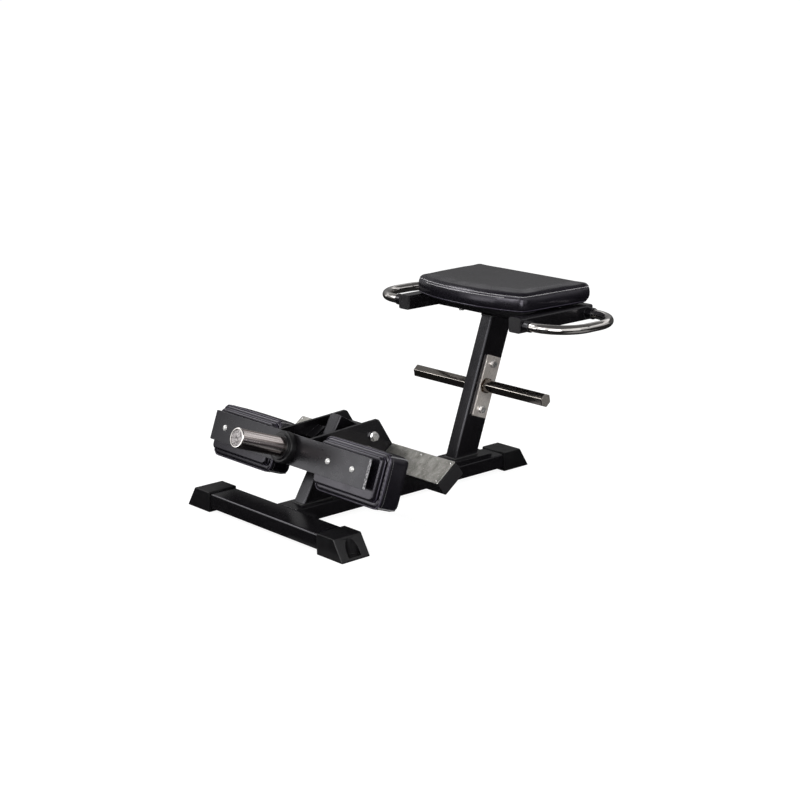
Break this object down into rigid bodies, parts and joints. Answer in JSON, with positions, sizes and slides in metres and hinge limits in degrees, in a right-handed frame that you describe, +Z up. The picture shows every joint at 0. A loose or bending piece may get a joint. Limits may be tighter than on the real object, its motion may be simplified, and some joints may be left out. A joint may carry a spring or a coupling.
{
  "type": "tibialis dorsiflexion machine",
  "caption": "Plate-loaded tibialis machine: padded foot arm with a weight horn tilts on a low floor frame, before a seat with side handles on a leaning post.",
  "frame": {"origin": "on the floor, under the middle of the whole machine", "axes": "+X across the machine, to the right as seen from the weight horn; +Y from the weight horn towards the seat; +Z up"},
  "size_m": [0.752, 1.041, 0.5372],
  "materials": {
    "frame_paint": "satin black powder coat",
    "rubber": "matte black",
    "vinyl": "grained black vinyl, soft sheen",
    "polished_steel": "polished",
    "brushed_steel": "brushed",
    "zinc": "bright zinc plate",
    "tread_plate": "raised diamond tread, dull",
    "plywood": "raw plywood",
    "bronze": "sintered bronze",
    "plastic": "matte black"
  },
  "bodies": {
    "base": {"front_cross_tube": "frame_paint", "main_tube": "frame_paint", "front_foot_left": "rubber", "front_foot_right": "rubber", "rear_foot": "rubber", "pivot_post": "frame_paint", "pivot_housing": "frame_paint", "pivot_bush_left": "bronze", "pivot_bush_right": "bronze", "stop_bracket": "frame_paint", "stop_rubber_left": "rubber", "stop_rubber_right": "rubber", "seat_post_flange": "frame_paint", "seat_post": "frame_paint", "seat_cross_tube": "frame_paint", "seat_side_tube_left": "frame_paint", "seat_side_tube_right": "frame_paint", "side_tube_plug_front_left": "plastic", "side_tube_plug_front_right": "plastic", "side_tube_plug_rear_left": "plastic", "side_tube_plug_rear_right": "plastic", "handle_left": "polished_steel", "handle_right": "polished_steel", "seat_board": "plywood", "seat_cushion": "vinyl", "seat_bolt_1": "zinc", "seat_bolt_2": "zinc", "seat_bolt_3": "zinc", "seat_bolt_4": "zinc", "storage_bar_left": "brushed_steel", "storage_bar_right": "brushed_steel", "storage_plate_left": "brushed_steel", "storage_plate_right": "brushed_steel", "storage_bolt_upper": "zinc", "storage_bolt_lower": "zinc", "storage_nut_upper": "zinc", "storage_nut_lower": "zinc"},
    "arm": {"cross_plate": "frame_paint", "cheek_left": "frame_paint", "cheek_right": "frame_paint", "weight_horn": "polished_steel", "horn_end_cap": "zinc", "horn_bumper": "rubber", "pad_left": "vinyl", "pad_right": "vinyl", "pad_board_left": "vinyl", "pad_board_right": "vinyl", "pad_bolt_left_inner": "zinc", "pad_bolt_left_outer": "zinc", "pad_bolt_right_inner": "zinc", "pad_bolt_right_outer": "zinc", "heel_tube": "frame_paint", "heel_plug_left": "plastic", "heel_plug_right": "plastic", "heel_plate_left": "tread_plate", "heel_plate_right": "tread_plate", "pivot_axle": "zinc", "axle_bolt_left": "zinc", "axle_bolt_right": "zinc"}
  },
  "joints": [
    {"name": "arm_pivot", "type": "hinge", "parent": "base", "child": "arm", "pos_m": [0, -0.1315, 0.202], "axis": [-1, 0, 0], "range_deg": [0, 35]}
  ]
}
